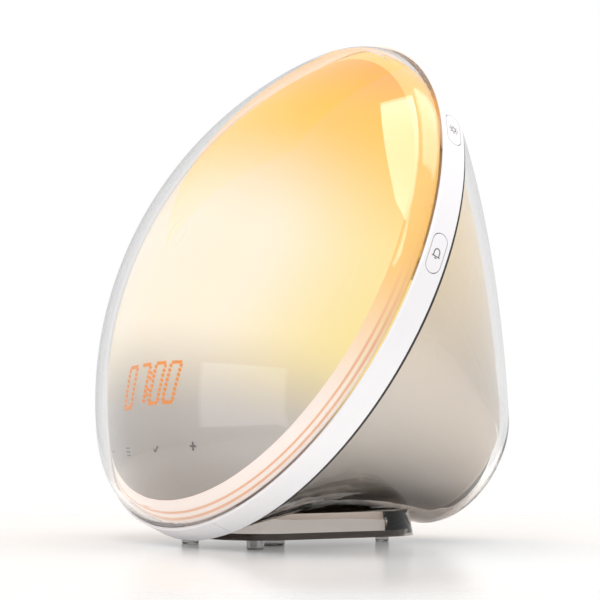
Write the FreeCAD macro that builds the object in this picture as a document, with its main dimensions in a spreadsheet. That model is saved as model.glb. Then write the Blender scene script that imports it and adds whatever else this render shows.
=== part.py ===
import FreeCAD, Part
import Sketcher
import math
import os

# Sunrise alarm clock: a round lit face, tilted back, on a clear cone-like rear shell.
# The origin is the centre of the large foot's underside. X runs to the right of someone
# who faces the clock, Y to the back and Z up.
# The face frame has its origin in the middle of the white ring's rear plane. Its Z runs
# along the face's normal to the front, its Y up along the face and its X to the right.

sizes = {
    # place of the face
    "tilt": 24.88,
    "face_back": 8.1,
    "face_height": 89.5,
    # white ring
    "ring_radius": 96,
    "ring_width": 9.54,
    "ring_wall": 3.2,
    "ring_edge": 0.4,
    "bridge_angle": 34.4,
    "bridge_seam": 0.15,
    # clear front cover
    "cover_radius": 95,
    "cover_wall": 2.5,
    "cover_seat": 1.54,
    "cover_rim": 11.4,
    "cover_crown": 141.1,
    # opal diffuser
    "diffuser_radius": 86.5,
    "diffuser_wall": 2,
    "diffuser_gap": 2,
    # plate across the middle
    "carrier_thickness": 1.5,
    "boss_radius": 3.5,
    "boss_hole": 1.5,
    "stud_height": 1,
    # recess behind the ring
    "seal_radius": 94,
    "seal_width": 4.4,
    "seal_thickness": 1.8,
    # clear rear shell
    "shell_front_radius": 95,
    "shell_rear_radius": 26.3,
    "shell_depth": 96,
    "shell_drop": 23.35,
    "shell_lift": 6,
    "shell_wall": 3,
    "shell_rounding": 12,
    # pearl bowl inside the shell
    "bowl_gap": 3,
    "bowl_wall": 1.6,
    "bowl_rounding": 6,
    # base pad, base plate and feet
    "foot_height": 3.2,
    "pad_width": 58,
    "pad_length": 81,
    "pad_corner": 20,
    "pad_back": 12.6,
    "pad_height": 9,
    "pad_taper": 8,
    "plate_inset": 2.6,
    "plate_thickness": 2,
    "centre_foot_radius": 6.7,
    "front_foot_radius": 3.1,
    "front_foot_side": 22.6,
    "front_foot_forward": 18.1,
    "rear_foot_radius": 2.5,
    "rear_foot_back": 49.7,
    # side buttons and what they press
    "button_length": 14,
    "button_width": 5.8,
    "button_place": 4.8,
    "button_flange": 1.2,
    "button_ear": 1.5,
    "button_travel": 0.6,
    "lower_button_angle": 6,
    "upper_button_angle": 37,
    "strip_thickness": 0.6,
    "strip_width": 6.5,
    "strip_margin": 6,
    "switch_side": 5,
    # lamp
    "lamp_rise": 18,
    "lamp_board_radius": 50,
    "board_thickness": 1.6,
    "lamp_side": 3.5,
    "lamp_thickness": 0.9,
    "lamp_ring_radius": 38,
    "lamp_inner_radius": 18,
    "reflector_radius": 69.5,
    "reflector_height": 9,
    "reflector_wall": 1.2,
    "sink_radius": 36,
    "sink_thickness": 2,
    "fin_height": 13,
    "fin_thickness": 1.6,
    "fin_pitch": 8,
    "fin_length": 48,
    # clock display and touch places
    "shelf_drop": 40,
    "shelf_thickness": 1.6,
    "display_drop": 52,
    "display_width": 40,
    "display_height": 19,
    "light_length": 2.6,
    "light_width": 0.9,
    "light_thickness": 0.8,
    "digit_pitch": 9,
    "digit_width": 5.4,
    "digit_height": 12.6,
    "bracket_wall": 1.6,
    "touch_drop": 70,
    "touch_height": 9,
    "touch_angle": 58,
    "touch_thickness": 0.3,
    # main board
    "main_board_width": 100,
    "main_board_height": 80,
    "main_board_back": 22,
    "screw_side": 42,
    "screw_rise": 32,
    "screw_head": 3,
    "screw_length": 9,
    # rear panel, speaker and inlet
    "panel_radius": 18.5,
    "panel_wall": 1.5,
    "panel_thickness": 2.4,
    "speaker_rise": 4.7,
    "speaker_radius": 11.7,
    "speaker_depth": 8,
    "speaker_wall": 1,
    "magnet_radius": 7,
    "magnet_depth": 4,
    "grille_hole": 0.8,
    "grille_pitch": 2.9,
    "inlet_drop": 12.2,
    "inlet_radius": 4.4,
    "inlet_bore": 3,
    "inlet_depth": 9,
    "inlet_back": 2,
    # clearances
    "running_gap": 0.3,
    "seat_gap": 0.1,
}

section_count = 5
hidden_margin = 12

doc = FreeCAD.newDocument("sunrise_clock")
sheet = doc.addObject("Spreadsheet::Sheet", "Sizes")


class Size:
    """A length or an angle, together with the sheet formula that gives it."""

    def __init__(self, value, formula):
        self.value = float(value)
        self.formula = formula

    def __add__(self, other):
        other = as_size(other)
        return Size(self.value + other.value, f"({self.formula} + {other.formula})")

    def __sub__(self, other):
        other = as_size(other)
        return Size(self.value - other.value, f"({self.formula} - {other.formula})")

    def __mul__(self, other):
        other = as_size(other)
        return Size(self.value * other.value, f"({self.formula} * {other.formula})")

    def __truediv__(self, other):
        other = as_size(other)
        return Size(self.value / other.value, f"({self.formula} / {other.formula})")

    def __rsub__(self, other):
        return as_size(other) - self

    def __neg__(self):
        return 0 - self

    __radd__ = __add__
    __rmul__ = __mul__


def as_size(value):
    return value if isinstance(value, Size) else Size(value, repr(value))


def sine(angle):
    return Size(math.sin(math.radians(angle.value)), f"sin({angle.formula})")


def cosine(angle):
    return Size(math.cos(math.radians(angle.value)), f"cos({angle.formula})")


def root(area):
    return Size(math.sqrt(area.value), f"sqrt({area.formula})")


class Sizes:
    """The sheet's cells by their names."""


size = Sizes()
for row, (name, value) in enumerate(sizes.items(), 1):
    sheet.set(f"A{row}", name)
    sheet.set(f"B{row}", str(value))
    sheet.setAlias(f"B{row}", name)
    setattr(size, name, Size(value, f"Sizes.{name}"))
doc.recompute()


# Placement and sketches

def put(thing, path, value):
    """Bind one property of an object to the sheet."""
    thing.setExpression(path, as_size(value).formula)


def place(thing, right, rise, front, lean=0):
    """Set an object at a point of the face frame, turned with the face and leaning by an angle."""
    rise = as_size(rise)
    front = as_size(front)
    turn = 90 - size.tilt + lean
    thing.Placement = FreeCAD.Placement(
        FreeCAD.Vector(), FreeCAD.Rotation(FreeCAD.Vector(1, 0, 0), turn.value))
    put(thing, "Placement.Base.x", right)
    put(thing, "Placement.Base.y", size.face_back + rise * sine(size.tilt) - front * cosine(size.tilt))
    put(thing, "Placement.Base.z", size.face_height + rise * cosine(size.tilt) + front * sine(size.tilt))
    put(thing, "Placement.Rotation.Angle", turn)


def new_body(name):
    body = doc.addObject("PartDesign::Body", name)
    body.Label = name
    body.AllowCompound = True
    return body


def new_sketch(body, name, role, lift=0, turn=0):
    """Sketch on one of the body's planes, lifted off it, or turned about the body's Z axis."""
    sketch = body.newObject("Sketcher::SketchObject", name)
    plane = next(item for item in body.Origin.OriginFeatures if item.Role == role)
    sketch.AttachmentSupport = [(plane, "")]
    sketch.MapMode = "FlatFace"
    turn = as_size(turn)
    sketch.AttachmentOffset = FreeCAD.Placement(
        FreeCAD.Vector(), FreeCAD.Rotation(FreeCAD.Vector(0, 1, 0), turn.value or 1))
    put(sketch, "AttachmentOffset.Rotation.Angle", turn)
    put(sketch, "AttachmentOffset.Base.z", lift)
    return sketch


def fix_point(sketch, index, position, across, up):
    """Hold a point of a sketch at its distances from the sketch's axes."""
    across = as_size(across)
    up = as_size(up)
    for kind, value, axis in (("DistanceX", across, -2), ("DistanceY", up, -1)):
        if abs(value.value) < 1e-9:
            sketch.addConstraint(Sketcher.Constraint("PointOnObject", index, position, axis))
        else:
            number = sketch.addConstraint(
                Sketcher.Constraint(kind, -1, 1, index, position, value.value))
            put(sketch, f"Constraints[{number}]", value)


def fix_radius(sketch, index, radius):
    radius = as_size(radius)
    number = sketch.addConstraint(Sketcher.Constraint("Radius", index, radius.value))
    put(sketch, f"Constraints[{number}]", radius)


def draw_outline(sketch, corners, arcs=()):
    """Closed outline through the corners; arcs holds (stretch, radius, turn), turn 1 to the left."""
    first = sketch.GeometryCount
    corners = [(as_size(across), as_size(up)) for across, up in corners]
    points = [FreeCAD.Vector(across.value, up.value, 0) for across, up in corners]
    bends = {stretch: (as_size(radius), turn) for stretch, radius, turn in arcs}
    for stretch, start in enumerate(points):
        end = points[(stretch + 1) % len(points)]
        if stretch in bends:
            radius, turn = bends[stretch]
            along = (end - start).normalize()
            inward = FreeCAD.Vector(-along.y, along.x, 0) * turn
            half = (end - start).Length / 2
            centre = (start + end) * 0.5 + inward * math.sqrt(radius.value ** 2 - half ** 2)
            sketch.addGeometry(Part.Arc(start, centre - inward * radius.value, end), False)
        else:
            sketch.addGeometry(Part.LineSegment(start, end), False)
    ends = []
    for stretch in range(len(points)):
        turned = stretch in bends and bends[stretch][1] < 0
        ends.append((2, 1) if turned else (1, 2))
    for stretch in range(len(points)):
        following = (stretch + 1) % len(points)
        sketch.addConstraint(Sketcher.Constraint(
            "Coincident", first + stretch, ends[stretch][1], first + following, ends[following][0]))
    for stretch, (across, up) in enumerate(corners):
        fix_point(sketch, first + stretch, ends[stretch][0], across, up)
    for stretch, (radius, turn) in bends.items():
        fix_radius(sketch, first + stretch, radius)


def draw_box(sketch, left, bottom, right, top):
    draw_outline(sketch, [(left, bottom), (right, bottom), (right, top), (left, top)])


def draw_circle(sketch, across, up, radius):
    index = sketch.GeometryCount
    centre = FreeCAD.Vector(as_size(across).value, as_size(up).value, 0)
    sketch.addGeometry(
        Part.Circle(centre, FreeCAD.Vector(0, 0, 1), as_size(radius).value), False)
    fix_point(sketch, index, 3, across, up)
    fix_radius(sketch, index, radius)


def draw_pill(sketch, length, width, up):
    """Slot with round ends, centred on the sketch's upright axis."""
    radius = width / 2
    reach = (length - width) / 2
    right = FreeCAD.Vector(reach.value, up.value, 0)
    left = FreeCAD.Vector(-reach.value, up.value, 0)
    rise = FreeCAD.Vector(0, radius.value, 0)
    side = FreeCAD.Vector(radius.value, 0, 0)
    first = sketch.GeometryCount
    sketch.addGeometry(Part.Arc(right - rise, right + side, right + rise), False)
    sketch.addGeometry(Part.LineSegment(right + rise, left + rise), False)
    sketch.addGeometry(Part.Arc(left + rise, left - side, left - rise), False)
    sketch.addGeometry(Part.LineSegment(left - rise, right - rise), False)
    for stretch in range(4):
        following = (stretch + 1) % 4
        sketch.addConstraint(Sketcher.Constraint(
            "Tangent", first + stretch, 2, first + following, 1))
    sketch.addConstraint(Sketcher.Constraint("Equal", first, first + 2))
    fix_point(sketch, first, 3, reach, up)
    fix_point(sketch, first + 2, 3, -reach, up)
    fix_radius(sketch, first, radius)


# Features

def turn_profile(body, sketch, angle=360, centred=False, cut=False):
    """Turn a profile about the sketch's upright axis."""
    kind = "PartDesign::Groove" if cut else "PartDesign::Revolution"
    feature = body.newObject(kind, f"{sketch.Name}_turned")
    feature.Profile = sketch
    feature.ReferenceAxis = (sketch, ["V_Axis"])
    feature.Midplane = centred
    feature.Angle = as_size(angle).value
    put(feature, "Angle", angle)
    sketch.Visibility = False
    return feature


def raise_profile(body, sketch, length, reverse=False, taper=0):
    feature = body.newObject("PartDesign::Pad", f"{sketch.Name}_raised")
    feature.Profile = sketch
    feature.Length = as_size(length).value
    feature.Reversed = reverse
    put(feature, "Length", length)
    if taper:
        feature.TaperAngle = as_size(taper).value
        put(feature, "TaperAngle", taper)
    return feature


def sink_profile(body, sketch, length=None, reverse=False):
    """Cut a profile to a depth, or right through where no depth is given."""
    feature = body.newObject("PartDesign::Pocket", f"{sketch.Name}_sunk")
    feature.Profile = sketch
    feature.Reversed = reverse
    if length is None:
        feature.Type = "ThroughAll"
    else:
        feature.Type = "Length"
        feature.Length = as_size(length).value
        put(feature, "Length", length)
    return feature


def repeat_round(body, feature, count):
    """Repeat a feature round the body's Z axis."""
    axis = next(item for item in body.Origin.OriginFeatures if item.Role == "Z_Axis")
    pattern = body.newObject("PartDesign::PolarPattern", f"{feature.Name}_repeated")
    pattern.Originals = [feature]
    pattern.Axis = (axis, [""])
    pattern.Angle = 360
    pattern.Occurrences = count
    body.Tip = pattern
    return pattern


def cut_away(name, base, tools):
    """Take the tools out of a base, one after the other."""
    for number, tool in enumerate(tools, 1):
        last = number == len(tools)
        result = doc.addObject("Part::Cut", name if last else f"{name}_cut_{number}")
        result.Base = base
        result.Tool = tool
        base = result
    base.Label = name
    return base


# Curves of the cover and of the parts that follow it

ring_inner_radius = size.ring_radius - size.ring_wall
cover_start = size.ring_width - size.cover_seat
rim_centre = size.cover_radius - size.cover_rim
crown_reach = size.cover_crown - size.cover_rim
crown_base = cover_start - root(crown_reach * crown_reach - rim_centre * rim_centre)
diffuser_crown = size.cover_crown - size.cover_wall - size.diffuser_gap
diffuser_inner_crown = diffuser_crown - size.diffuser_wall
diffuser_inner_radius = size.diffuser_radius - size.diffuser_wall


def crown_height(crown, radius):
    """Height over the ring's rear plane of a crown of this radius, at a distance from the axis."""
    return crown_base + root(crown * crown - as_size(radius) * radius)


def cover_corner(inset):
    """Point where the rim's arc passes into the crown's arc, at an inset from the outside."""
    share = rim_centre / crown_reach
    across = share * (size.cover_crown - inset)
    rise = root(crown_reach * crown_reach - rim_centre * rim_centre) / crown_reach
    return across, crown_base + rise * (size.cover_crown - inset)


# Pieces of the face

def make_front_cover():
    body = new_body("front_cover")
    sketch = new_sketch(body, "cover_profile", "XZ_Plane")
    corners = [
        (size.cover_radius, cover_start),
        cover_corner(0),
        (0, crown_base + size.cover_crown),
        (0, crown_base + size.cover_crown - size.cover_wall),
        cover_corner(size.cover_wall),
        (size.cover_radius - size.cover_wall, cover_start),
    ]
    arcs = [
        (0, size.cover_rim, 1),
        (1, size.cover_crown, 1),
        (3, size.cover_crown - size.cover_wall, -1),
        (4, size.cover_rim - size.cover_wall, -1),
    ]
    draw_outline(sketch, corners, arcs)
    turn_profile(body, sketch)
    place(body, 0, 0, 0)
    return body


def make_diffuser():
    body = new_body("diffuser")
    sketch = new_sketch(body, "diffuser_profile", "XZ_Plane")
    outer = size.diffuser_radius
    inner = diffuser_inner_radius
    corners = [
        (inner, size.carrier_thickness),
        (outer, size.carrier_thickness),
        (outer, crown_height(diffuser_crown, outer)),
        (0, crown_base + diffuser_crown),
        (0, crown_base + diffuser_inner_crown),
        (inner, crown_height(diffuser_inner_crown, inner)),
    ]
    draw_outline(sketch, corners, [(2, diffuser_crown, 1), (4, diffuser_inner_crown, -1)])
    turn_profile(body, sketch)
    place(body, 0, 0, 0)
    return body


def ring_corners(side):
    """Section of the white ring, on the side of the axis that the sign says."""
    outer = size.ring_radius
    inner = ring_inner_radius
    step = size.cover_radius + size.seat_gap
    edge = size.ring_edge
    corners = [
        (inner, 0),
        (outer - edge, 0),
        (outer, edge),
        (outer, size.ring_width - edge),
        (outer - edge, size.ring_width),
        (step, size.ring_width),
        (step, cover_start),
        (inner, cover_start),
    ]
    return [(side * across, up) for across, up in corners]


button_angles = {
    "lower_button_right": size.lower_button_angle,
    "upper_button_right": size.upper_button_angle,
    "lower_button_left": 180 - size.lower_button_angle,
    "upper_button_left": 180 - size.upper_button_angle,
}


def make_trim_ring():
    """White ring, open at the bottom, with a hole through its wall for each button."""
    body = new_body("trim_ring")
    sketch = new_sketch(body, "ring_profile", "YZ_Plane")
    draw_outline(sketch, ring_corners(1))
    turn_profile(body, sketch, 360 - size.bridge_angle, centred=True)
    for name, angle in button_angles.items():
        hole = new_sketch(body, f"{name}_hole", "YZ_Plane", turn=angle)
        draw_pill(hole, size.button_length + 2 * size.running_gap,
                  size.button_width + 2 * size.running_gap, size.button_place)
        sink_profile(body, hole, reverse=True)
    place(body, 0, 0, 0)
    return body


def make_ring_bridge():
    """The lowest stretch of the white ring."""
    body = new_body("ring_bridge")
    sketch = new_sketch(body, "bridge_profile", "YZ_Plane")
    draw_outline(sketch, ring_corners(-1))
    turn_profile(body, sketch, size.bridge_angle - 2 * size.bridge_seam, centred=True)
    place(body, 0, 0, 0)
    return body


def make_button(name, angle):
    """Pill-shaped cap, flush with the ring, with ears that keep it behind the ring's wall."""
    body = new_body(name)
    seat = ring_inner_radius - size.running_gap
    ears = new_sketch(body, f"{name}_ears", "YZ_Plane", lift=0, turn=angle)
    draw_pill(ears, size.button_length + 2 * size.button_ear, size.button_width, size.button_place)
    raise_profile(body, ears, size.ring_radius)
    wall = new_sketch(body, f"{name}_wall", "XZ_Plane")
    draw_box(wall, seat, 0, size.ring_radius + hidden_margin, size.ring_width)
    turn_profile(body, wall, cut=True)
    cap = new_sketch(body, f"{name}_cap", "YZ_Plane", turn=angle)
    draw_pill(cap, size.button_length, size.button_width, size.button_place)
    raise_profile(body, cap, size.ring_radius + size.button_width)
    core = new_sketch(body, f"{name}_core", "XZ_Plane")
    draw_box(core, 0, 0, seat - size.button_flange, size.ring_width)
    turn_profile(body, core, cut=True)
    skin = new_sketch(body, f"{name}_skin", "XZ_Plane")
    draw_box(skin, size.ring_radius, 0, size.ring_radius + hidden_margin, size.ring_width)
    turn_profile(body, skin, cut=True)
    place(body, 0, 0, 0)
    return body


switch_top = ring_inner_radius - size.button_flange - 2 * size.running_gap - size.button_travel
strip_radius = size.diffuser_radius + size.running_gap + size.strip_thickness


def make_switch(name, angle):
    """Push switch behind a button, on the curved strip."""
    body = new_body(name)
    base = strip_radius + size.running_gap
    sketch = new_sketch(body, f"{name}_case", "YZ_Plane", lift=0, turn=angle)
    half = size.switch_side / 2
    draw_box(sketch, -half, size.button_place - half, half, size.button_place + half)
    raise_profile(body, sketch, switch_top)
    core = new_sketch(body, f"{name}_core", "XZ_Plane")
    draw_box(core, 0, 0, base, size.ring_width)
    turn_profile(body, core, cut=True)
    place(body, 0, 0, 0)
    return body


def make_button_strip(name, side):
    """Curved strip behind the two buttons of one side."""
    body = new_body(name)
    middle = (size.upper_button_angle + size.lower_button_angle) / 2
    spread = size.upper_button_angle - size.lower_button_angle + 2 * size.strip_margin
    turn = middle if side > 0 else 180 - middle
    sketch = new_sketch(body, f"{name}_profile", "XZ_Plane", turn=turn)
    draw_box(sketch, strip_radius - size.strip_thickness, size.carrier_thickness,
             strip_radius, size.carrier_thickness + size.strip_width)
    turn_profile(body, sketch, spread, centred=True)
    place(body, 0, 0, 0)
    return body


# Plate across the middle, lamp and boards

def screw_places():
    for side in (-1, 1):
        for rise in (-1, 1):
            yield side * size.screw_side, rise * size.screw_rise


def make_carrier():
    """Plate behind the face, with studs for the lamp board and long bosses for the main board."""
    body = new_body("carrier")
    sketch = new_sketch(body, "carrier_plate", "XY_Plane")
    draw_circle(sketch, 0, 0, ring_inner_radius - size.running_gap)
    raise_profile(body, sketch, size.carrier_thickness)
    studs = new_sketch(body, "carrier_studs", "XY_Plane", lift=size.carrier_thickness)
    for side in (-1, 1):
        for rise in (-1, 1):
            draw_circle(studs, side * size.lamp_inner_radius,
                        size.lamp_rise + rise * size.lamp_inner_radius, size.boss_radius)
    raise_profile(body, studs, size.stud_height)
    bosses = new_sketch(body, "carrier_bosses", "XY_Plane")
    for across, up in screw_places():
        draw_circle(bosses, across, up, size.boss_radius)
    raise_profile(body, bosses, size.main_board_back, reverse=True)
    holes = new_sketch(body, "boss_holes", "XY_Plane", lift=-size.main_board_back)
    for across, up in screw_places():
        draw_circle(holes, across, up, size.boss_hole)
    sink_profile(body, holes, size.screw_length, reverse=True)
    place(body, 0, 0, 0)
    return body


def make_lamp_board():
    body = new_body("lamp_board")
    sketch = new_sketch(body, "lamp_board_outline", "XY_Plane")
    draw_circle(sketch, 0, 0, size.lamp_board_radius)
    raise_profile(body, sketch, size.board_thickness)
    place(body, 0, size.lamp_rise, size.carrier_thickness + size.stud_height)
    return body


def make_lamp_lights():
    """One light in the middle of the board and two rings of lights round it."""
    body = new_body("lamp_lights")
    half = size.lamp_side / 2
    middle = new_sketch(body, "middle_light", "XY_Plane")
    draw_box(middle, -half, -half, half, half)
    raise_profile(body, middle, size.lamp_thickness)
    for radius, count in ((size.lamp_inner_radius - size.boss_radius, 6), (size.lamp_ring_radius, 12)):
        sketch = new_sketch(body, f"light_of_{count}", "XY_Plane")
        draw_box(sketch, radius - half, -half, radius + half, half)
        light = raise_profile(body, sketch, size.lamp_thickness)
        repeat_round(body, light, count)
    place(body, 0, size.lamp_rise, size.carrier_thickness + size.stud_height + size.board_thickness)
    return body


def make_reflector():
    """White cone round the lamp, cut off at the shelf."""
    body = new_body("reflector")
    sketch = new_sketch(body, "reflector_profile", "XZ_Plane")
    low = size.carrier_thickness
    outer = diffuser_inner_radius - size.running_gap
    inner = size.reflector_radius
    draw_outline(sketch, [
        (inner, low),
        (inner + size.reflector_wall, low),
        (outer, low + size.reflector_height - size.reflector_wall),
        (outer, low + size.reflector_height),
    ])
    turn_profile(body, sketch)
    cut = new_sketch(body, "reflector_cut", "XY_Plane")
    reach = size.ring_radius
    draw_box(cut, -reach, -reach, reach, size.running_gap - size.shelf_drop)
    sink_profile(body, cut, reverse=True)
    place(body, 0, 0, 0)
    return body


def make_heat_sink():
    """Round plate with straight fins, behind the carrier."""
    body = new_body("heat_sink")
    plate = new_sketch(body, "sink_plate", "XY_Plane")
    draw_circle(plate, 0, 0, size.sink_radius)
    raise_profile(body, plate, size.sink_thickness, reverse=True)
    fin = new_sketch(body, "sink_fins", "XY_Plane", lift=-size.sink_thickness)
    half = size.fin_thickness / 2
    for number in range(-3, 4):
        centre = number * size.fin_pitch
        draw_box(fin, centre - half, -size.fin_length / 2, centre + half, size.fin_length / 2)
    raise_profile(body, fin, size.fin_height, reverse=True)
    place(body, 0, size.lamp_rise, 0)
    return body


def make_light_shelf():
    """Wall that stands on the carrier and reaches to the diffuser, over the clock display."""
    body = new_body("light_shelf")
    sketch = new_sketch(body, "shelf_outline", "XZ_Plane", lift=size.shelf_drop)
    drop = size.shelf_drop + size.shelf_thickness
    crown = diffuser_inner_crown - size.running_gap
    side = root(diffuser_inner_radius * diffuser_inner_radius - drop * drop) - size.running_gap
    arc = root(crown * crown - drop * drop)
    height = crown_base + root(arc * arc - side * side)
    corners = [
        (-side, size.carrier_thickness),
        (side, size.carrier_thickness),
        (side, height),
        (-side, height),
    ]
    draw_outline(sketch, corners, [(2, arc, 1)])
    raise_profile(body, sketch, size.shelf_thickness)
    place(body, 0, 0, 0)
    return body


# The display board lies square to the crown's radius through its middle.
display_share = size.display_drop / diffuser_inner_crown
display_lean = Size(
    math.degrees(math.asin(display_share.value)), f"asin({display_share.formula}) / 1deg")
display_sag = (size.display_width * size.display_width + size.display_height * size.display_height) / (
    8 * diffuser_inner_crown)
display_top = diffuser_inner_crown - display_sag - size.running_gap
board_top = display_top - size.light_thickness


def place_on_crown(body, radius):
    """Set a body on the crown's radius through the display's middle, square to it."""
    place(body, 0, -radius * sine(display_lean), crown_base + radius * cosine(display_lean),
          lean=display_lean)


def make_display_board():
    body = new_body("display_board")
    sketch = new_sketch(body, "display_board_outline", "XY_Plane")
    half = size.display_width / 2
    draw_box(sketch, -half, -size.display_height / 2, half, size.display_height / 2)
    raise_profile(body, sketch, size.board_thickness)
    place_on_crown(body, board_top - size.board_thickness)
    return body


def make_display_lights():
    """Four digits of seven short bars each, and the two dots between them."""
    body = new_body("display_lights")
    sketch = new_sketch(body, "display_bars", "XY_Plane")
    half_width = size.light_width / 2
    half_length = size.light_length / 2
    across = size.digit_width / 2
    upright = size.digit_height / 2
    for place_number in (-1.5, -0.5, 0.5, 1.5):
        centre = place_number * size.digit_pitch
        for level in (-1, 0, 1):
            up = level * upright
            draw_box(sketch, centre - half_length, up - half_width, centre + half_length, up + half_width)
        for side in (-1, 1):
            for level in (-0.5, 0.5):
                middle = centre + side * across
                up = level * upright
                draw_box(sketch, middle - half_width, up - half_length,
                         middle + half_width, up + half_length)
    for level in (-0.25, 0.25):
        up = level * size.digit_height
        draw_box(sketch, -half_width, up - half_width, half_width, up + half_width)
    raise_profile(body, sketch, size.light_thickness)
    place_on_crown(body, board_top)
    return body


def make_display_bracket():
    """Trough that stands on the carrier and carries the display board on its sloping edge."""
    body = new_body("display_bracket")
    half = size.display_width / 2
    wall = size.bracket_wall
    low = -size.display_drop - size.display_height / 2 + wall
    high = -size.shelf_drop - size.shelf_thickness - size.running_gap
    sketch = new_sketch(body, "bracket_outline", "XY_Plane", lift=size.carrier_thickness)
    draw_outline(sketch, [
        (-half, low),
        (half, low),
        (half, high),
        (half - wall, high),
        (half - wall, low + wall),
        (wall - half, low + wall),
        (wall - half, high),
        (-half, high),
    ])
    raise_profile(body, sketch, crown_base + diffuser_inner_crown)
    slope = new_sketch(body, "bracket_slope", "YZ_Plane")
    back = board_top - size.board_thickness - size.running_gap
    reach = size.display_width
    across = -back * sine(display_lean)
    up = crown_base + back * cosine(display_lean)
    along = (reach * cosine(display_lean), reach * sine(display_lean))
    draw_outline(slope, [
        (across - along[0], up - along[1]),
        (across + along[0], up + along[1]),
        (across + along[0] - along[1], up + along[1] + along[0]),
        (across - along[0] - along[1], up - along[1] + along[0]),
    ])
    cut = sink_profile(body, slope)
    cut.Midplane = True
    place(body, 0, 0, 0)
    return body


def make_touch_foil():
    """Thin curved foil behind the diffuser, under the display."""
    body = new_body("touch_foil")
    sketch = new_sketch(body, "foil_profile", "YZ_Plane")
    outer = diffuser_inner_crown - size.seat_gap
    inner = outer - size.touch_thickness
    near = size.touch_drop
    far = size.touch_drop + size.touch_height
    corners = [
        (-near, crown_height(outer, near)),
        (-far, crown_height(outer, far)),
        (-far, crown_height(inner, far)),
        (-near, crown_height(inner, near)),
    ]
    draw_outline(sketch, corners, [(0, outer, 1), (2, inner, -1)])
    turn_profile(body, sketch, size.touch_angle, centred=True)
    place(body, 0, 0, 0)
    return body


def make_main_board():
    body = new_body("main_board")
    sketch = new_sketch(body, "main_board_outline", "XY_Plane")
    half = size.main_board_width / 2
    draw_box(sketch, -half, -size.main_board_height / 2, half, size.main_board_height / 2)
    for across, up in screw_places():
        draw_circle(sketch, across, up, size.boss_hole + size.seat_gap)
    raise_profile(body, sketch, size.board_thickness, reverse=True)
    place(body, 0, 0, -size.main_board_back)
    return body


def make_board_screws():
    """Four screws through the main board into the carrier's bosses."""
    body = new_body("board_screws")
    heads = new_sketch(body, "screw_heads", "XY_Plane")
    for across, up in screw_places():
        draw_circle(heads, across, up, size.screw_head)
    raise_profile(body, heads, size.board_thickness, reverse=True)
    shanks = new_sketch(body, "screw_shanks", "XY_Plane")
    for across, up in screw_places():
        draw_circle(shanks, across, up, size.boss_hole - size.seat_gap)
    raise_profile(body, shanks, size.screw_length)
    place(body, 0, 0, -size.main_board_back - size.board_thickness)
    return body


# Rear shell, bowl and base

def make_round_form(name, start, end, inset, rounding):
    """Round body behind the face. Its sections stay parallel to the face and sink towards the back."""
    body = new_body(name)
    sections = []
    for number in range(section_count):
        depth = start + (end - start) * number / (section_count - 1)
        share = depth / size.shell_depth
        taper = size.shell_front_radius - size.shell_rear_radius
        drop = size.shell_drop * share * share - size.shell_lift * share * (1 - share)
        sketch = new_sketch(body, f"{name}_section_{number}", "XY_Plane", lift=-depth)
        draw_circle(sketch, 0, -drop, size.shell_front_radius - taper * share - inset)
        sections.append(sketch)
    loft = body.newObject("PartDesign::AdditiveLoft", f"{name}_loft")
    loft.Profile = sections[0]
    loft.Sections = sections[1:]
    doc.recompute()
    edges = [f"Edge{number}" for number, edge in enumerate(loft.Shape.Edges, 1)
             if edge.BoundBox.ZMax < -end.value + 0.1]
    fillet = body.newObject("PartDesign::Fillet", f"{name}_rounding")
    fillet.Base = (loft, edges)
    fillet.Radius = as_size(rounding).value
    put(fillet, "Radius", rounding)
    place(body, 0, 0, 0)
    return body


def make_rounded_block(name, inset, height, taper=0):
    """Upright block with round corners under the shell, its lower face at the height of the feet."""
    body = new_body(name)
    half_width = size.pad_width / 2 - inset
    half_length = size.pad_length / 2 - inset
    sketch = new_sketch(body, f"{name}_outline", "XY_Plane")
    draw_box(sketch, -half_width, size.pad_back - half_length, half_width, size.pad_back + half_length)
    block = raise_profile(body, sketch, height, taper=taper)
    doc.recompute()
    corners = [f"Edge{number}" for number, edge in enumerate(block.Shape.Edges, 1)
               if edge.BoundBox.ZLength > as_size(height).value / 2]
    fillet = body.newObject("PartDesign::Fillet", f"{name}_corners")
    fillet.Base = (block, corners)
    fillet.Radius = (size.pad_corner - inset).value
    put(fillet, "Radius", size.pad_corner - inset)
    put(body, "Placement.Base.z", size.foot_height)
    return body


def make_round_bar(name, radius, start, length):
    """Round bar along the rear panel's axis, from a distance in front of the shell's rear end."""
    body = new_body(name)
    sketch = new_sketch(body, f"{name}_outline", "XY_Plane")
    draw_circle(sketch, 0, 0, radius)
    raise_profile(body, sketch, length)
    place(body, 0, -size.shell_drop, start - size.shell_depth)
    return body


def make_front_room():
    """All that lies in front of the shell's rim."""
    body = new_body("front_room")
    sketch = new_sketch(body, "front_room_outline", "XY_Plane", lift=-size.seal_thickness)
    draw_circle(sketch, 0, 0, size.ring_radius + hidden_margin)
    raise_profile(body, sketch, size.ring_radius)
    place(body, 0, 0, 0)
    return body


def make_rear_shell():
    """Clear shell with its base pad, hollow, open to the front and with a hole for the rear panel."""
    outside = make_round_form("shell_outside", size.seal_thickness, size.shell_depth, as_size(0),
                              size.shell_rounding)
    inside = make_round_form("shell_inside", size.seal_thickness, size.shell_depth - size.shell_wall,
                             size.shell_wall, size.shell_rounding - size.shell_wall)
    pad = make_rounded_block("pad_block", as_size(0), size.pad_height, taper=-size.pad_taper)
    recess = make_rounded_block("pad_recess", size.plate_inset - size.seat_gap,
                                size.plate_thickness + size.seat_gap)
    hole = make_round_bar("panel_hole", size.panel_radius + size.running_gap, -hidden_margin,
                          2 * hidden_margin)
    joined = doc.addObject("Part::Fuse", "shell_and_pad")
    joined.Base = outside
    joined.Tool = pad
    return cut_away("rear_shell", joined, [inside, make_front_room(), recess, hole])


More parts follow.
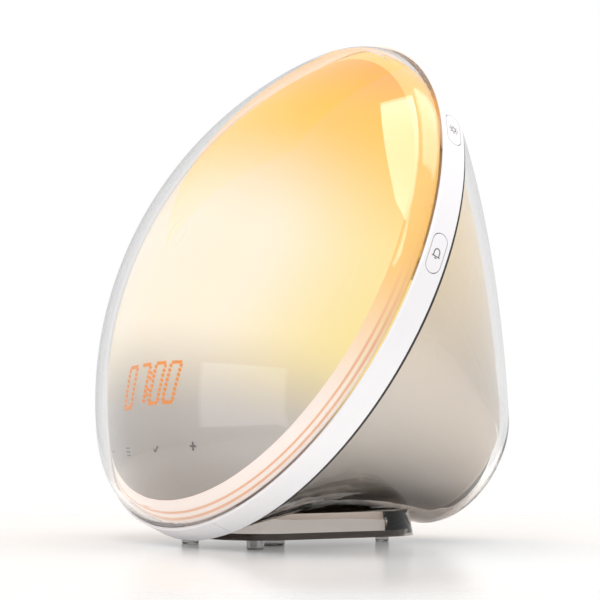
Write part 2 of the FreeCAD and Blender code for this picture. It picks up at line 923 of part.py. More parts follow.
def make_inner_bowl():
    """Pearl-white bowl inside the clear shell, open at the back for speaker and inlet."""
    inset = size.shell_wall + size.bowl_gap
    end = size.shell_depth - size.shell_wall - size.bowl_gap
    outside = make_round_form("bowl_outside", as_size(0), end, inset, size.bowl_rounding)
    inside = make_round_form("bowl_inside", as_size(0), end - size.bowl_wall, inset + size.bowl_wall,
                             size.bowl_rounding - size.bowl_wall)
    hole = make_round_bar("bowl_hole", size.panel_radius - size.panel_wall, as_size(0),
                          2 * hidden_margin)
    return cut_away("inner_bowl", outside, [inside, hole])


def make_seal_ring():
    body = new_body("seal_ring")
    sketch = new_sketch(body, "seal_profile", "XZ_Plane")
    draw_box(sketch, size.seal_radius - size.seal_width, -size.seal_thickness, size.seal_radius, 0)
    turn_profile(body, sketch)
    place(body, 0, 0, 0)
    return body


def make_base_plate():
    return make_rounded_block("base_plate", size.plate_inset, size.plate_thickness)


def make_foot(name, radius, across, back):
    """Round foot with a softened lower edge."""
    body = new_body(name)
    edge = size.ring_edge
    sketch = new_sketch(body, f"{name}_profile", "XZ_Plane")
    draw_outline(sketch, [
        (0, 0),
        (radius - edge, 0),
        (radius, edge),
        (radius, size.foot_height),
        (0, size.foot_height),
    ])
    turn_profile(body, sketch)
    put(body, "Placement.Base.x", across)
    put(body, "Placement.Base.y", back)
    return body


# Rear panel, speaker and inlet

def make_rear_panel():
    """Cup that closes the shell's rear end, with the speaker grille and the inlet's hole."""
    body = new_body("rear_panel")
    sketch = new_sketch(body, "panel_profile", "XZ_Plane")
    outer = size.panel_radius
    skirt = size.shell_wall + size.bowl_gap
    draw_outline(sketch, [
        (0, 0),
        (outer, 0),
        (outer, skirt),
        (outer - size.panel_wall, skirt),
        (outer - size.panel_wall, size.panel_thickness),
        (0, size.panel_thickness),
    ])
    turn_profile(body, sketch)
    grille = new_sketch(body, "panel_holes", "XY_Plane")
    draw_circle(grille, 0, -size.inlet_drop, size.inlet_radius + size.seat_gap)
    draw_circle(grille, 0, size.speaker_rise, size.grille_hole)
    for ring_number in (1, 2, 3):
        count = 6 * ring_number
        for number in range(count):
            angle = Size(360 * number / count, repr(360 * number / count))
            radius = ring_number * size.grille_pitch
            draw_circle(grille, radius * cosine(angle), size.speaker_rise + radius * sine(angle),
                        size.grille_hole)
    sink_profile(body, grille, reverse=True)
    place(body, 0, -size.shell_drop, -size.shell_depth)
    return body


def make_speaker_frame():
    body = new_body("speaker_frame")
    sketch = new_sketch(body, "frame_profile", "XZ_Plane")
    outer = size.speaker_radius
    wall = size.speaker_wall
    inner = size.magnet_radius
    draw_outline(sketch, [
        (outer - 2 * wall, 0),
        (outer, 0),
        (outer, wall),
        (inner, size.speaker_depth),
        (0, size.speaker_depth),
        (0, size.speaker_depth - wall),
        (inner - wall, size.speaker_depth - wall),
        (outer - 2 * wall, wall),
    ])
    turn_profile(body, sketch)
    place(body, 0, size.speaker_rise - size.shell_drop, size.panel_thickness - size.shell_depth)
    return body


def make_speaker_cone():
    body = new_body("speaker_cone")
    sketch = new_sketch(body, "cone_profile", "XZ_Plane")
    outer = size.speaker_radius - 2 * size.speaker_wall - size.seat_gap
    inner = size.magnet_radius - 2 * size.speaker_wall
    deep = size.speaker_depth / 2
    thin = size.speaker_wall / 2
    draw_outline(sketch, [
        (0, deep),
        (inner, deep),
        (outer, thin),
        (outer, 2 * thin),
        (inner, deep + thin),
        (0, deep + thin),
    ])
    turn_profile(body, sketch)
    place(body, 0, size.speaker_rise - size.shell_drop, size.panel_thickness - size.shell_depth)
    return body


def make_speaker_magnet():
    body = new_body("speaker_magnet")
    sketch = new_sketch(body, "magnet_outline", "XY_Plane")
    draw_circle(sketch, 0, 0, size.magnet_radius)
    raise_profile(body, sketch, size.magnet_depth)
    place(body, 0, size.speaker_rise - size.shell_drop,
          size.panel_thickness + size.speaker_depth - size.shell_depth)
    return body


def make_dc_inlet():
    """Round socket for the power plug, flush with the rear panel."""
    body = new_body("dc_inlet")
    sketch = new_sketch(body, "inlet_profile", "XZ_Plane")
    outer = size.inlet_radius
    draw_outline(sketch, [
        (size.inlet_bore, 0),
        (outer, 0),
        (outer, size.inlet_depth + size.inlet_back),
        (0, size.inlet_depth + size.inlet_back),
        (0, size.inlet_depth),
        (size.inlet_bore, size.inlet_depth),
    ])
    turn_profile(body, sketch)
    place(body, 0, -size.inlet_drop - size.shell_drop, -size.shell_depth)
    return body


pieces = [
    make_front_cover(),
    make_diffuser(),
    make_trim_ring(),
    make_ring_bridge(),
    make_carrier(),
    make_lamp_board(),
    make_lamp_lights(),
    make_reflector(),
    make_heat_sink(),
    make_light_shelf(),
    make_display_board(),
    make_display_lights(),
    make_display_bracket(),
    make_touch_foil(),
    make_main_board(),
    make_board_screws(),
    make_seal_ring(),
    make_rear_shell(),
    make_inner_bowl(),
    make_base_plate(),
    make_foot("centre_foot", size.centre_foot_radius, 0, 0),
    make_foot("front_foot_right", size.front_foot_radius, size.front_foot_side,
              -size.front_foot_forward),
    make_foot("front_foot_left", size.front_foot_radius, -size.front_foot_side,
              -size.front_foot_forward),
    make_foot("rear_foot", size.rear_foot_radius, 0, size.rear_foot_back),
    make_rear_panel(),
    make_speaker_frame(),
    make_speaker_cone(),
    make_speaker_magnet(),
    make_dc_inlet(),
    make_button_strip("button_strip_right", 1),
    make_button_strip("button_strip_left", -1),
]
for button_name, button_angle in button_angles.items():
    pieces.append(make_button(button_name, button_angle))
    pieces.append(make_switch(button_name.replace("button", "switch"), button_angle))

doc.recompute()

for item in doc.Objects:
    if "Invalid" in item.State or "Error" in item.State:
        raise RuntimeError(f"{item.Name} failed: {item.State}")

os.makedirs("parts", exist_ok=True)
for piece in pieces:
    shape = piece.Shape
    if shape.isNull() or not shape.isValid():
        raise RuntimeError(f"{piece.Label} has no valid shape")
    shape.exportStep(f"parts/{piece.Label}.step")
    print(f"{piece.Label}: {len(shape.Solids)} solids, {shape.Volume / 1000:.2f} cm3")
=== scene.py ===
import math
import bmesh
import bpy
from mathutils import Matrix, Vector


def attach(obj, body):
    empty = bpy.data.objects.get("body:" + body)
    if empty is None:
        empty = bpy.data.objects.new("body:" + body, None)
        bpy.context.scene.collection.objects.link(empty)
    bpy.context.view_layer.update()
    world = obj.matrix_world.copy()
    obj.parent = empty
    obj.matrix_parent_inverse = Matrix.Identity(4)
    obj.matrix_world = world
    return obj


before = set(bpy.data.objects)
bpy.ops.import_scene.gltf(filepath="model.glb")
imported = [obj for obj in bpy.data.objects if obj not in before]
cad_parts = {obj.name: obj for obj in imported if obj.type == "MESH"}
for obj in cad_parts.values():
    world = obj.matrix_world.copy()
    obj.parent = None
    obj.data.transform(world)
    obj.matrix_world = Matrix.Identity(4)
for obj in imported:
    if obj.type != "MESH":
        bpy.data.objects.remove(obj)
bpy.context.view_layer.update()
print("frame loaded")

# The face frame: middle of the white ring's rear plane, X right, Y up along the face, Z to the front.
face = {
    "tilt": 24.88,
    "middle": (0.0, 0.0081, 0.0895),
    "ringRadius": 0.096,
    "crownBase": -0.0912,       # the crown's centre, behind the ring's rear plane
    "diffuserCrown": 0.1366,
    "displayGap": 0.0001,
    "poleInner": 0.006,
    "poleOuter": 0.008,
}
tilt = math.radians(face["tilt"])
faceMatrix = Matrix.Translation(face["middle"]) @ Matrix.Rotation(math.pi / 2 - tilt, 4, "X")
faceUp = Vector((0, math.sin(tilt), math.cos(tilt)))


# Shader building: Field is a value in a material, Finish is the material

class Field:
    def __init__(self, finish, socket):
        self.finish = finish
        self.socket = socket

    def maths(self, operation, *others):
        values = [self] + list(others)
        return self.finish.node("ShaderNodeMath", {"operation": operation},
                                {index: value for index, value in enumerate(values)})

    def __add__(self, other):
        return self.maths("ADD", other)

    def __mul__(self, other):
        return self.maths("MULTIPLY", other)

    def __pow__(self, other):
        return self.maths("POWER", other)

    def __rsub__(self, other):
        return self.finish.node("ShaderNodeMath", {"operation": "SUBTRACT"}, {0: other, 1: self})

    def between(self, low, high):
        # smooth step from 0 at low to 1 at high
        settings = {"interpolation_type": "SMOOTHSTEP"}
        return self.finish.node("ShaderNodeMapRange", settings,
                                {"Value": self, "From Min": low, "From Max": high})


class Finish:
    def __init__(self, name):
        self.material = bpy.data.materials.new(name)
        self.material.use_nodes = True
        self.tree = self.material.node_tree
        self.shader = self.tree.nodes["Principled BSDF"]

    def node(self, kind, settings=None, inputs=None, output=0):
        made = self.tree.nodes.new(kind)
        for key, value in (settings or {}).items():
            setattr(made, key, value)
        for key, value in (inputs or {}).items():
            self.feed(made.inputs[key], value)
        return Field(self, made.outputs[output])

    def feed(self, socket, value):
        if isinstance(value, Field):
            self.tree.links.new(value.socket, socket)
        else:
            socket.default_value = value

    def set(self, **values):
        for key, value in values.items():
            self.feed(self.shader.inputs[key.replace("_", " ")], value)
        return self

    def place(self):
        return self.node("ShaderNodeTexCoord", output="Object")

    def along(self, direction, start):
        # distance of the surface point from a start point, along a direction
        moved = self.node("ShaderNodeVectorMath", {"operation": "SUBTRACT"}, {0: self.place(), 1: start})
        return self.node("ShaderNodeVectorMath", {"operation": "DOT_PRODUCT"},
                         {0: moved, 1: tuple(direction)}, output="Value")

    def onFace(self):
        # height and sideways place on the face, and distance from its middle
        rise = self.along(faceUp, face["middle"])
        across = self.along((1, 0, 0), face["middle"])
        return rise, across, (rise * rise + across * across) ** 0.5

    def mix(self, amount, first, second):
        # inputs 6 and 7 and output 2 are the colour sockets, whose names the node uses more than once
        made = self.tree.nodes.new("ShaderNodeMix")
        made.data_type = "RGBA"
        self.feed(made.inputs[0], amount)
        self.feed(made.inputs[6], first)
        self.feed(made.inputs[7], second)
        return Field(self, made.outputs[2])


def colour(red, green, blue):
    # colour as seen on a screen, 0 to 255, turned into shader values
    def linear(level):
        level = level / 255
        return level / 12.92 if level <= 0.04045 else ((level + 0.055) / 1.055) ** 2.4
    return (linear(red), linear(green), linear(blue), 1)


plainLooks = {
    "whitePlastic": {"colour": colour(244, 242, 244), "roughness": 0.22, "metal": 0},
    # black seal ring, its dark colour also the painted shade of the gap between the white ring and the clear
    # shell
    "blackSealGapShade": {"colour": colour(52, 46, 44), "roughness": 0.35, "metal": 0},
    "greyPlastic": {"colour": colour(176, 172, 168), "roughness": 0.4, "metal": 0},
    "blackPlastic": {"colour": colour(28, 28, 30), "roughness": 0.4, "metal": 0},
    "boardPale": {"colour": colour(232, 232, 226), "roughness": 0.5, "metal": 0},
    "foilAmber": {"colour": colour(206, 160, 96), "roughness": 0.4, "metal": 0},
    "castMetal": {"colour": colour(205, 205, 208), "roughness": 0.35, "metal": 1},
    "brightMetal": {"colour": colour(190, 190, 194), "roughness": 0.25, "metal": 1},
    "coneBlack": {"colour": colour(34, 33, 34), "roughness": 0.8, "metal": 0},
    "smokyBase": {"colour": colour(150, 141, 135), "roughness": 0.12, "metal": 0},
    "printGrey": {"colour": colour(112, 104, 100), "roughness": 0.5, "metal": 0},
}


def makePlain(name):
    look = plainLooks[name]
    return Finish(name).set(Base_Color=look["colour"], Roughness=look["roughness"],
                            Metallic=look["metal"]).material


def poleNormal(finish):
    # smooth shading fails at the very middle of a dome, so that spot takes its facets' own normals
    _, _, reach = finish.onFace()
    flat = finish.node("ShaderNodeNewGeometry", output="True Normal")
    smooth = finish.node("ShaderNodeNewGeometry", output="Normal")
    return finish.mix(reach.between(face["poleInner"], face["poleOuter"]), flat, smooth)


clearLook = {"colour": (1, 1, 1, 1), "roughness": 0.0, "index": 1.45}


def makeClear():
    finish = Finish("clearPlastic")
    return finish.set(
        Base_Color=clearLook["colour"], Roughness=clearLook["roughness"], IOR=clearLook["index"],
        Transmission_Weight=1.0, Normal=poleNormal(finish)).material


shellLook = {"low": colour(182, 173, 166), "lowHeight": 0.006, "highHeight": 0.024}


def makeClearShell():
    # clear plastic that turns greyer low down at the pad
    finish = Finish("clearShell")
    height = finish.along((0, 0, 1), (0, 0, 0)).between(shellLook["lowHeight"], shellLook["highHeight"])
    finish.set(Base_Color=finish.mix(height, shellLook["low"], clearLook["colour"]),
               Roughness=clearLook["roughness"], IOR=clearLook["index"], Transmission_Weight=1.0)
    return finish.material


footLook = {"colour": colour(206, 204, 202), "roughness": 0.12, "index": 1.45, "through": 0.75}


def makeFootPlastic():
    return Finish("smokyPlastic").set(
        Base_Color=footLook["colour"], Roughness=footLook["roughness"], IOR=footLook["index"],
        Transmission_Weight=footLook["through"]).material


glowLook = {
    "middle": colour(255, 240, 214),
    "side": colour(249, 226, 152),
    "high": colour(248, 190, 52),
    "top": colour(246, 150, 10),
    "unlit": colour(232, 224, 218),
    "unlitLeftShaded": colour(216, 208, 200),
    "unlitLowShaded": colour(184, 174, 167),
    "strength": 0.86,
    "ownColour": 0.25,           # share of the light's colour that the plastic itself has
    "unlitTop": -0.026,         # the shelf's shadow fades in between these heights on the face
    "unlitBottom": -0.062,
    "sideBand": (0.04, 0.09),
    "highBand": (0.006, 0.07),
    "topBand": (0.062, 0.104),
    "bend": 0.15,               # how far the upper bands bend down at the sides
    # painted shade in the unlit part, darker to the left and towards the bottom
    "leftShadeBand": (-0.04, 0.05),
    "lowShadeBand": (-0.088, -0.055),
    "roughness": 0.45,
}


def makeGlow():
    # opal plastic, lit from behind: cream in the middle, yellow at the sides, orange at the top
    finish = Finish("glowingOpal")
    rise, across, reach = finish.onFace()
    upward = rise + reach * glowLook["bend"]
    lit = finish.mix(reach.between(*glowLook["sideBand"]), glowLook["middle"], glowLook["side"])
    lit = finish.mix(upward.between(*glowLook["highBand"]), lit, glowLook["high"])
    lit = finish.mix(upward.between(*glowLook["topBand"]), lit, glowLook["top"])
    shade = rise.between(glowLook["unlitBottom"], glowLook["unlitTop"])
    # painted shade: the unlit part is darker to the left and darker again towards the bottom
    unlit = finish.mix(across.between(*glowLook["leftShadeBand"]), glowLook["unlitLeftShaded"], glowLook["unlit"])
    unlit = finish.mix(rise.between(*glowLook["lowShadeBand"]), glowLook["unlitLowShaded"], unlit)
    black = (0, 0, 0, 1)
    own = finish.mix(glowLook["ownColour"], black, lit)
    finish.set(Base_Color=finish.mix(shade, unlit, own), Roughness=glowLook["roughness"],
               Normal=poleNormal(finish),
               Emission_Color=finish.mix(shade, black, lit), Emission_Strength=glowLook["strength"])
    return finish.material


rimLook = {
    "pale": colour(246, 232, 224),
    "warm": colour(243, 190, 96),
    "refractionLine": colour(222, 168, 128),
    "lines": (0.0899, 0.0914),
    "lineWidth": 0.0006,
    "lineFade": (-0.03, 0.02),
    "warmGlowBand": (-0.045, 0.03),
    "rightShare": 0.2,          # how much the right side counts as higher up
    "roughness": 0.35,
    "strength": 0.42,
}


def makeRimGlow():
    # edge of the opal dome, given a painted glow: pale at the bottom with fine tan painted refraction lines
    # round it, warm higher up
    finish = Finish("glowingRim")
    rise, across, reach = finish.onFace()
    warmth = (rise + across * rimLook["rightShare"]).between(*rimLook["warmGlowBand"])
    tint = finish.mix(warmth, rimLook["pale"], rimLook["warm"])
    # painted refraction lines of the clear cover's rim, shown at the bottom only
    for radius in rimLook["lines"]:
        width = rimLook["lineWidth"]
        refractionLine = reach.between(radius - width, radius) * (1 - reach.between(radius, radius + width))
        refractionLine = refractionLine * (1 - rise.between(*rimLook["lineFade"]))
        tint = finish.mix(refractionLine, tint, rimLook["refractionLine"])
    finish.set(Base_Color=tint, Roughness=rimLook["roughness"], Emission_Color=tint,
               Emission_Strength=rimLook["strength"])
    return finish.material


bowlLook = {
    "top": colour(254, 228, 176),
    "middle": colour(240, 224, 203),
    "low": colour(196, 184, 174),
    "glow": colour(255, 214, 140),
    "glowStrength": 0.22,
    "warmGlowBand": (0.05, 0.12),
    "lowShadeBand": (0.008, 0.05),
    "roughness": 0.3,
}


def makeBowl():
    # pearl plastic with a painted glow, warm at the top where the lamp shines through, and painted shade
    # making it darker towards the bottom
    finish = Finish("pearlBowlPaintedGlow")
    height = finish.along((0, 0, 1), (0, 0, 0))
    warm = height.between(*bowlLook["warmGlowBand"])
    base = finish.mix(height.between(*bowlLook["lowShadeBand"]), bowlLook["low"], bowlLook["middle"])
    base = finish.mix(warm, base, bowlLook["top"])
    finish.set(Base_Color=base, Roughness=bowlLook["roughness"],
               Emission_Color=finish.mix(warm, (0, 0, 0, 1), bowlLook["glow"]),
               Emission_Strength=bowlLook["glowStrength"])
    return finish.material


lightRoughness = 0.5


def makeLight(name, tint, strength):
    return Finish(name).set(Base_Color=tint, Roughness=lightRoughness, Emission_Color=tint,
                            Emission_Strength=strength).material


plain = {name: makePlain(name) for name in plainLooks}
clearPlastic = makeClear()
clearShell = makeClearShell()
smokyPlastic = makeFootPlastic()
rimGlow = makeRimGlow()
glowingOpal = makeGlow()
pearlBowlPaintedGlow = makeBowl()
displayLight = makeLight("displayLight", colour(226, 134, 0), 0.5)
lampLight = makeLight("lampLight", colour(255, 236, 190), 2.0)
print("finishes made")

nodeFinishes = {
    "front_cover": clearPlastic, "rear_shell": clearShell, "diffuser": glowingOpal,
    "trim_ring": plain["whitePlastic"], "ring_bridge": plain["whitePlastic"],
    "lower_button_right": plain["whitePlastic"], "upper_button_right": plain["whitePlastic"],
    "lower_button_left": plain["whitePlastic"], "upper_button_left": plain["whitePlastic"],
    "inner_bowl": pearlBowlPaintedGlow, "reflector": plain["whitePlastic"], "seal_ring": plain["blackSealGapShade"],
    "carrier": plain["whitePlastic"], "light_shelf": plain["whitePlastic"],
    "display_bracket": plain["whitePlastic"], "display_lights": displayLight,
    "display_board": plain["boardPale"], "lamp_board": plain["boardPale"],
    "main_board": plain["boardPale"], "lamp_lights": lampLight, "heat_sink": plain["castMetal"],
    "touch_foil": plain["foilAmber"], "board_screws": plain["brightMetal"],
    "base_plate": plain["smokyBase"], "centre_foot": smokyPlastic, "front_foot_right": smokyPlastic,
    "front_foot_left": smokyPlastic, "rear_foot": smokyPlastic, "rear_panel": plain["greyPlastic"],
    "speaker_frame": plain["brightMetal"], "speaker_cone": plain["coneBlack"],
    "speaker_magnet": plain["castMetal"], "dc_inlet": plain["blackPlastic"],
    "button_strip_right": plain["whitePlastic"], "button_strip_left": plain["whitePlastic"],
    "lower_switch_right": plain["whitePlastic"], "upper_switch_right": plain["whitePlastic"],
    "lower_switch_left": plain["whitePlastic"], "upper_switch_left": plain["whitePlastic"],
}
for nodeName, finish in nodeFinishes.items():
    node = bpy.data.objects[nodeName]
    for place in node.material_slots:
        place.material = finish
print("frame dressed")


# New pieces

def finishPiece(name, mesh, finish, body):
    data = bpy.data.meshes.new(name)
    mesh.to_mesh(data)
    mesh.free()
    data.materials.append(finish)
    piece = bpy.data.objects.new(name, data)
    bpy.context.scene.collection.objects.link(piece)
    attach(piece, body)


def onCrown(across, rise, radius):
    # matrix of a point on a dome of the face, its Z along the dome's normal
    front = face["crownBase"] + math.sqrt(radius ** 2 - across ** 2 - rise ** 2)
    point = Vector((across, rise, front))
    normal = (point - Vector((0, 0, face["crownBase"]))).normalized()
    turn = Vector((0, 0, 1)).rotation_difference(normal).to_matrix().to_4x4()
    return faceMatrix @ Matrix.Translation(point) @ turn


def onRing(angle, front, along=0.0):
    # matrix of a point on the ring's outside: X runs round the ring, Y to the front, Z outwards
    turn = Matrix.Rotation(angle + along / face["ringRadius"], 4, "Z")
    shift = Matrix.Translation((face["ringRadius"], 0, front))
    axes = Matrix(((0, 0, 1, 0), (1, 0, 0, 0), (0, 1, 0, 0), (0, 0, 0, 1)))
    return faceMatrix @ turn @ shift @ axes


def addBar(mesh, matrix, width, height, depth, spin=0.0):
    # flat bar in the matrix's XY plane, its back on that plane
    scale = Matrix.Diagonal((width, height, depth, 1))
    lift = Matrix.Translation((0, 0, depth / 2))
    bmesh.ops.create_cube(mesh, size=1, matrix=matrix @ Matrix.Rotation(spin, 4, "Z") @ lift @ scale)


display = {
    "rise": -0.0517,
    "digitWidth": 0.0058,
    "digitHeight": 0.0129,
    "places": (-0.0155, -0.0058, 0.0040, 0.0132),
    "colon": -0.0012,
    "slant": 0.38,              # sideways shift for each unit of height
    "climb": 0.060,             # rise of the row for each unit to the right
    "dash": 0.0011,
    "stroke": 0.0013,
    "gap": 0.00045,
    "sideDashes": 4,            # in each half of a side
    "topDashes": (-1.5, -0.5, 0.5, 1.5),
    "topStroke": 0.8,
    "colonRises": (-0.0034, -0.0018, 0.0018, 0.0034),
    "colonDash": 0.85,
    "depth": 0.0003,
}
# the sides of a digit: top, upper right, lower right, bottom, lower left, upper left
digitSides = {"0": (1, 1, 1, 1, 1, 1), "7": (1, 1, 1, 0, 0, 0)}


def makeDisplay():
    mesh = bmesh.new()
    radius = face["diffuserCrown"] + face["displayGap"]
    width = display["digitWidth"]
    height = display["digitHeight"]
    pitch = display["dash"] + display["gap"]

    def dash(across, up, wide, high):
        rise = display["rise"] + across * display["climb"] + up
        matrix = onCrown(across + up * display["slant"], rise, radius)
        matrix = matrix @ Matrix.Rotation(-math.atan(display["slant"]), 4, "Z")
        addBar(mesh, matrix, wide, high, display["depth"])

    for digit, middle in zip("0700", display["places"]):
        top, upperRight, lowerRight, bottom, lowerLeft, upperLeft = digitSides[digit]
        for shown, up in ((top, height / 2), (bottom, -height / 2)):
            for number in display["topDashes"] if shown else ():
                dash(middle + number * width / len(display["topDashes"]), up,
                     display["stroke"] * display["topStroke"], display["dash"])
        sides = ((upperRight, width / 2, 1), (lowerRight, width / 2, -1),
                 (lowerLeft, -width / 2, -1), (upperLeft, -width / 2, 1))
        for shown, across, half in sides:
            for number in range(display["sideDashes"] if shown else 0):
                up = half * (number + 0.5) * pitch
                dash(middle + across, up, display["stroke"], display["dash"])
    for up in display["colonRises"]:
        dash(display["colon"], up, display["stroke"], display["dash"] * display["colonDash"])
    finishPiece("displayDigits", mesh, displayLight, "clock")


symbols = {
    "minus": (-0.0410, -0.0708),
    "menu": (-0.0205, -0.0724),
    "select": (0.0020, -0.0720),
    "plus": (0.0240, -0.0698),
    "length": 0.0030,
    "thin": 0.7,                # share of the stroke in the bars and the tick
    "barSpacing": 0.0011,
    "tickShort": {"across": -0.0009, "up": -0.0003, "share": 0.45, "turn": -45},
    "tickLong": {"across": 0.0006, "up": 0.0002, "share": 0.85, "turn": 50},
    "stroke": 0.0006,
    "depth": 0.0002,
}


def makeSymbols():
    # minus, three bars, a tick and plus, printed on the dome's inner layer
    mesh = bmesh.new()
    radius = face["diffuserCrown"] + face["displayGap"]
    length = symbols["length"]
    stroke = symbols["stroke"]
    thin = stroke * symbols["thin"]
    depth = symbols["depth"]

    def at(name, across=0.0, up=0.0):
        side, rise = symbols[name]
        return onCrown(side + across, rise + up, radius)

    addBar(mesh, at("minus"), length, stroke, depth)
    for up in (-1, 0, 1):
        addBar(mesh, at("menu", 0, up * symbols["barSpacing"]), length, thin, depth)
    for part in (symbols["tickShort"], symbols["tickLong"]):
        addBar(mesh, at("select", part["across"], part["up"]), length * part["share"], thin, depth,
               math.radians(part["turn"]))
    addBar(mesh, at("plus"), length, stroke, depth)
    addBar(mesh, at("plus"), stroke, length, depth)
    finishPiece("touchSymbols", mesh, plain["printGrey"], "clock")


# lengths and places inside an icon are shares of its size
icons = {
    "stroke": 0.00035,
    "depth": 0.00005,
    "size": 0.0015,
    "front": 0.0048,
    "discParts": 12,
    "discRadius": 0.6,
    "discPart": 0.36,
    "rays": 8,
    "rayRadius": 1.15,
    "ray": 0.4,
    "domeParts": 7,
    "domeMiddle": 0.3,
    "domeRadius": 0.7,
    "domePart": 0.4,
    "wallMiddle": -0.2,
    "wallSide": 0.75,
    "wall": 1.1,
    "brimPlace": -0.8,
    "brim": 2.2,
    "clapperPlace": -1.2,
    "clapper": 0.6,
}
iconAngles = {"lower_button_right": 6, "upper_button_right": 37,
              "lower_button_left": 174, "upper_button_left": 143}


def markSun(mark):
    for number in range(icons["discParts"]):
        turn = number * math.tau / icons["discParts"]
        radius = icons["discRadius"]
        mark(radius * math.cos(turn), radius * math.sin(turn), icons["discPart"], turn + math.pi / 2)
    for number in range(icons["rays"]):
        turn = number * math.tau / icons["rays"]
        radius = icons["rayRadius"]
        mark(radius * math.cos(turn), radius * math.sin(turn), icons["ray"], turn)


def markBell(mark):
    for number in range(icons["domeParts"]):
        turn = number * math.pi / (icons["domeParts"] - 1)
        radius = icons["domeRadius"]
        mark(icons["domeMiddle"] + radius * math.sin(turn), radius * math.cos(turn), icons["domePart"], -turn)
    for side in (-1, 1):
        mark(icons["wallMiddle"], side * icons["wallSide"], icons["wall"], 0)
    mark(icons["brimPlace"], 0, icons["brim"], math.pi / 2)
    mark(icons["clapperPlace"], 0, icons["clapper"], math.pi / 2)


def makeIcons():
    # a sun on the upper buttons and a bell on the lower ones, printed on the caps
    size = icons["size"]
    for name, angle in iconAngles.items():
        mesh = bmesh.new()

        def mark(across, up, length, spin):
            matrix = onRing(math.radians(angle), icons["front"] + up * size, across * size)
            addBar(mesh, matrix, length * size, icons["stroke"], icons["depth"], spin)

        if name.startswith("upper"):
            markSun(mark)
        else:
            markBell(mark)
        finishPiece(f"{name}_icon", mesh, plain["printGrey"], name)


rim = {
    "inner": 0.08655,
    "outer": 0.0903,
    "lip": 0.0923,
    "lipFront": 0.0093,
    "back": 0.009,
    "steps": 6,
    "spins": 160,
}


def makeDiffuserRim():
    # the opal dome's edge, which reaches over the button switches to the clear cover's rim
    mesh = bmesh.new()
    inner = rim["inner"]
    outer = rim["outer"]
    section = [(inner, rim["back"]), (rim["lip"], rim["back"]), (rim["lip"], rim["lipFront"])]
    for number in range(rim["steps"] + 1):
        radius = outer + (inner - outer) * number / rim["steps"]
        section.append((radius, face["crownBase"] + math.sqrt(face["diffuserCrown"] ** 2 - radius ** 2)))
    corners = [mesh.verts.new((radius, 0, front)) for radius, front in section]
    edges = [mesh.edges.new((corners[number - 1], corners[number])) for number in range(len(corners))]
    bmesh.ops.spin(mesh, geom=corners + edges, cent=(0, 0, 0), axis=(0, 0, 1), angle=math.tau,
                   steps=rim["spins"], use_merge=True)
    bmesh.ops.transform(mesh, matrix=faceMatrix, verts=mesh.verts)
    bmesh.ops.recalc_face_normals(mesh, faces=mesh.faces)
    finishPiece("diffuserRim", mesh, rimGlow, "clock")


inlet = {"drop": -0.03555, "pinRadius": 0.00105, "pinLength": 0.0085, "floor": -0.087,
         "segments": 24}


def makeInletPin():
    mesh = bmesh.new()
    place = Matrix.Translation((0, inlet["drop"], inlet["floor"] - inlet["pinLength"] / 2))
    bmesh.ops.create_cone(mesh, cap_ends=True, segments=inlet["segments"], radius1=inlet["pinRadius"],
                          radius2=inlet["pinRadius"], depth=inlet["pinLength"],
                          matrix=faceMatrix @ place)
    finishPiece("inletPin", mesh, plain["brightMetal"], "clock")


makeDiffuserRim()
makeDisplay()
makeSymbols()
makeIcons()
makeInletPin()
print("details made")


# Floor, lights and camera

stage = {
    "floorSize": 0.8,
    "floorClear": 0.34,         # from here outwards the floor has faded into the background
    "floorSolid": 0.16,
    "floorColour": colour(250, 250, 250),
    "floorRoughness": 0.16,
    "floorLift": 0.06,
    "worldStrength": 0.86,
    "glossDrop": -0.12,         # how much less the world shows in reflections
}


def makeFloor():
    mesh = bmesh.new()
    bmesh.ops.create_grid(mesh, x_segments=1, y_segments=1, size=stage["floorSize"])
    data = bpy.data.meshes.new("floor")
    mesh.to_mesh(data)
    mesh.free()
    finish = Finish("paleFloor")
    sideways = finish.along((1, 0, 0), (0, 0, 0))
    forward = finish.along((0, 1, 0), (0, 0, 0))
    reach = (sideways * sideways + forward * forward) ** 0.5
    finish.set(Base_Color=stage["floorColour"], Roughness=stage["floorRoughness"],
               Emission_Color=(1, 1, 1, 1), Emission_Strength=stage["floorLift"],
               Alpha=1 - reach.between(stage["floorSolid"], stage["floorClear"]))
    data.materials.append(finish.material)
    floor = bpy.data.objects.new("floor", data)
    bpy.context.scene.collection.objects.link(floor)


def makeWorld():
    # white to the camera and through clear plastic, softer as a light and in reflections
    world = bpy.data.worlds.new("studio")
    bpy.context.scene.world = world
    world.use_nodes = True
    tree = world.node_tree
    background = tree.nodes["Background"]
    path = tree.nodes.new("ShaderNodeLightPath")
    either = tree.nodes.new("ShaderNodeMath")
    either.operation = "MAXIMUM"
    tree.links.new(path.outputs["Is Camera Ray"], either.inputs[0])
    tree.links.new(path.outputs["Is Transmission Ray"], either.inputs[1])
    strength = tree.nodes.new("ShaderNodeMapRange")
    strength.inputs["To Min"].default_value = stage["worldStrength"]
    strength.inputs["To Max"].default_value = 1.0
    tree.links.new(either.outputs[0], strength.inputs["Value"])
    gloss = tree.nodes.new("ShaderNodeMath")
    gloss.operation = "MULTIPLY_ADD"
    tree.links.new(path.outputs["Is Glossy Ray"], gloss.inputs[0])
    gloss.inputs[1].default_value = stage["glossDrop"]
    tree.links.new(strength.outputs[0], gloss.inputs[2])
    tree.links.new(gloss.outputs[0], background.inputs["Strength"])
    background.inputs["Color"].default_value = (1, 1, 1, 1)


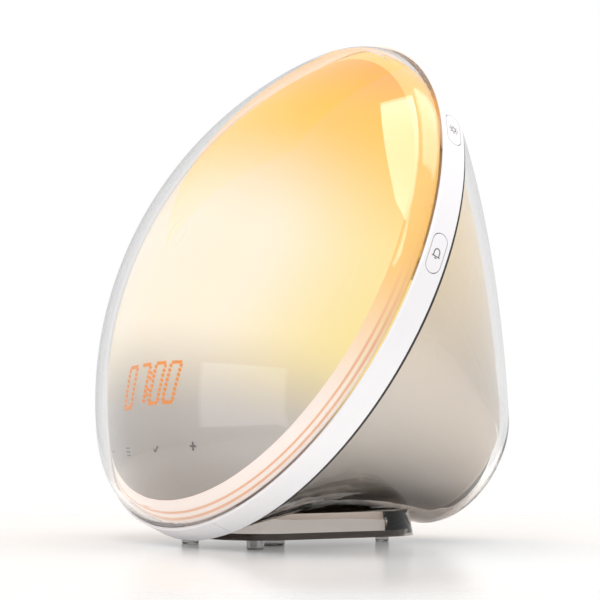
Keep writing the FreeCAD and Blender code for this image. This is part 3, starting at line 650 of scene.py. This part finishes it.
# each light: where it stands, as azimuth, elevation and distance from the object, and its size
lights = {
    "sideStrip": {"azimuth": 27, "elevation": 67, "roll": 27, "distance": 0.9,
                  "wide": 0.17, "high": 1.15, "power": 2.2},
    "leftWindow": {"azimuth": -14, "elevation": -1, "roll": 0, "distance": 0.9,
                   "wide": 0.52, "high": 0.24, "power": 0.4},
    "topSoft": {"azimuth": 150, "elevation": 70, "roll": 0, "distance": 1.4,
                "wide": 1.0, "high": 1.0, "power": 7},
}


def aimed(position, target):
    direction = Vector(target) - Vector(position)
    turn = direction.to_track_quat("-Z", "Y").to_matrix().to_4x4()
    return Matrix.Translation(position) @ turn


def outward(azimuth, elevation):
    azimuth = math.radians(azimuth)
    elevation = math.radians(elevation)
    return Vector((math.sin(azimuth) * math.cos(elevation), -math.cos(azimuth) * math.cos(elevation),
                   math.sin(elevation)))


def makeLights():
    for name, light in lights.items():
        lamp = bpy.data.lights.new(name, "AREA")
        lamp.shape = "RECTANGLE"
        lamp.size = light["wide"]
        lamp.size_y = light["high"]
        lamp.energy = light["power"]
        out = outward(light["azimuth"], light["elevation"])
        target = Vector(face["middle"])
        holder = bpy.data.objects.new(name, lamp)
        roll = Matrix.Rotation(math.radians(light["roll"]), 4, "Z")
        holder.matrix_world = aimed(target + out * light["distance"], target) @ roll
        bpy.context.scene.collection.objects.link(holder)


# warm card above and behind to the left, which the top of the clear dome mirrors
card = {"azimuth": -95, "elevation": 43, "distance": 0.9, "wide": 0.8, "high": 0.62,
        "tint": colour(246, 178, 64), "strength": 0.6}


def makeCard():
    mesh = bmesh.new()
    target = Vector(face["middle"])
    place = aimed(target + outward(card["azimuth"], card["elevation"]) * card["distance"], target)
    size = Matrix.Diagonal((card["wide"], card["high"], 1, 1))
    bmesh.ops.create_grid(mesh, x_segments=1, y_segments=1, size=0.5, matrix=place @ size)
    data = bpy.data.meshes.new("warmCard")
    mesh.to_mesh(data)
    mesh.free()
    data.materials.append(makeLight("warmCard", card["tint"], card["strength"]))
    holder = bpy.data.objects.new("warmCard", data)
    bpy.context.scene.collection.objects.link(holder)
    holder.visible_camera = False
    holder.visible_transmission = False


camera = {"azimuth": 57.94, "elevation": -1.7, "angle": 12.0, "offset": (0.87127, -0.53948, -0.03241)}


def makeCamera():
    lens = bpy.data.cameras.new("camera")
    lens.sensor_fit = "AUTO"
    lens.angle = math.radians(camera["angle"])
    holder = bpy.data.objects.new("camera", lens)
    holder.location = Vector(face["middle"]) + Vector(camera["offset"])
    holder.rotation_euler = (math.pi / 2 - math.radians(camera["elevation"]), 0,
                             math.radians(camera["azimuth"]))
    bpy.context.scene.collection.objects.link(holder)
    bpy.context.scene.camera = holder


makeFloor()
makeWorld()
makeLights()
makeCard()
makeCamera()
bpy.context.scene.view_settings.view_transform = "Standard"
print("stage made")
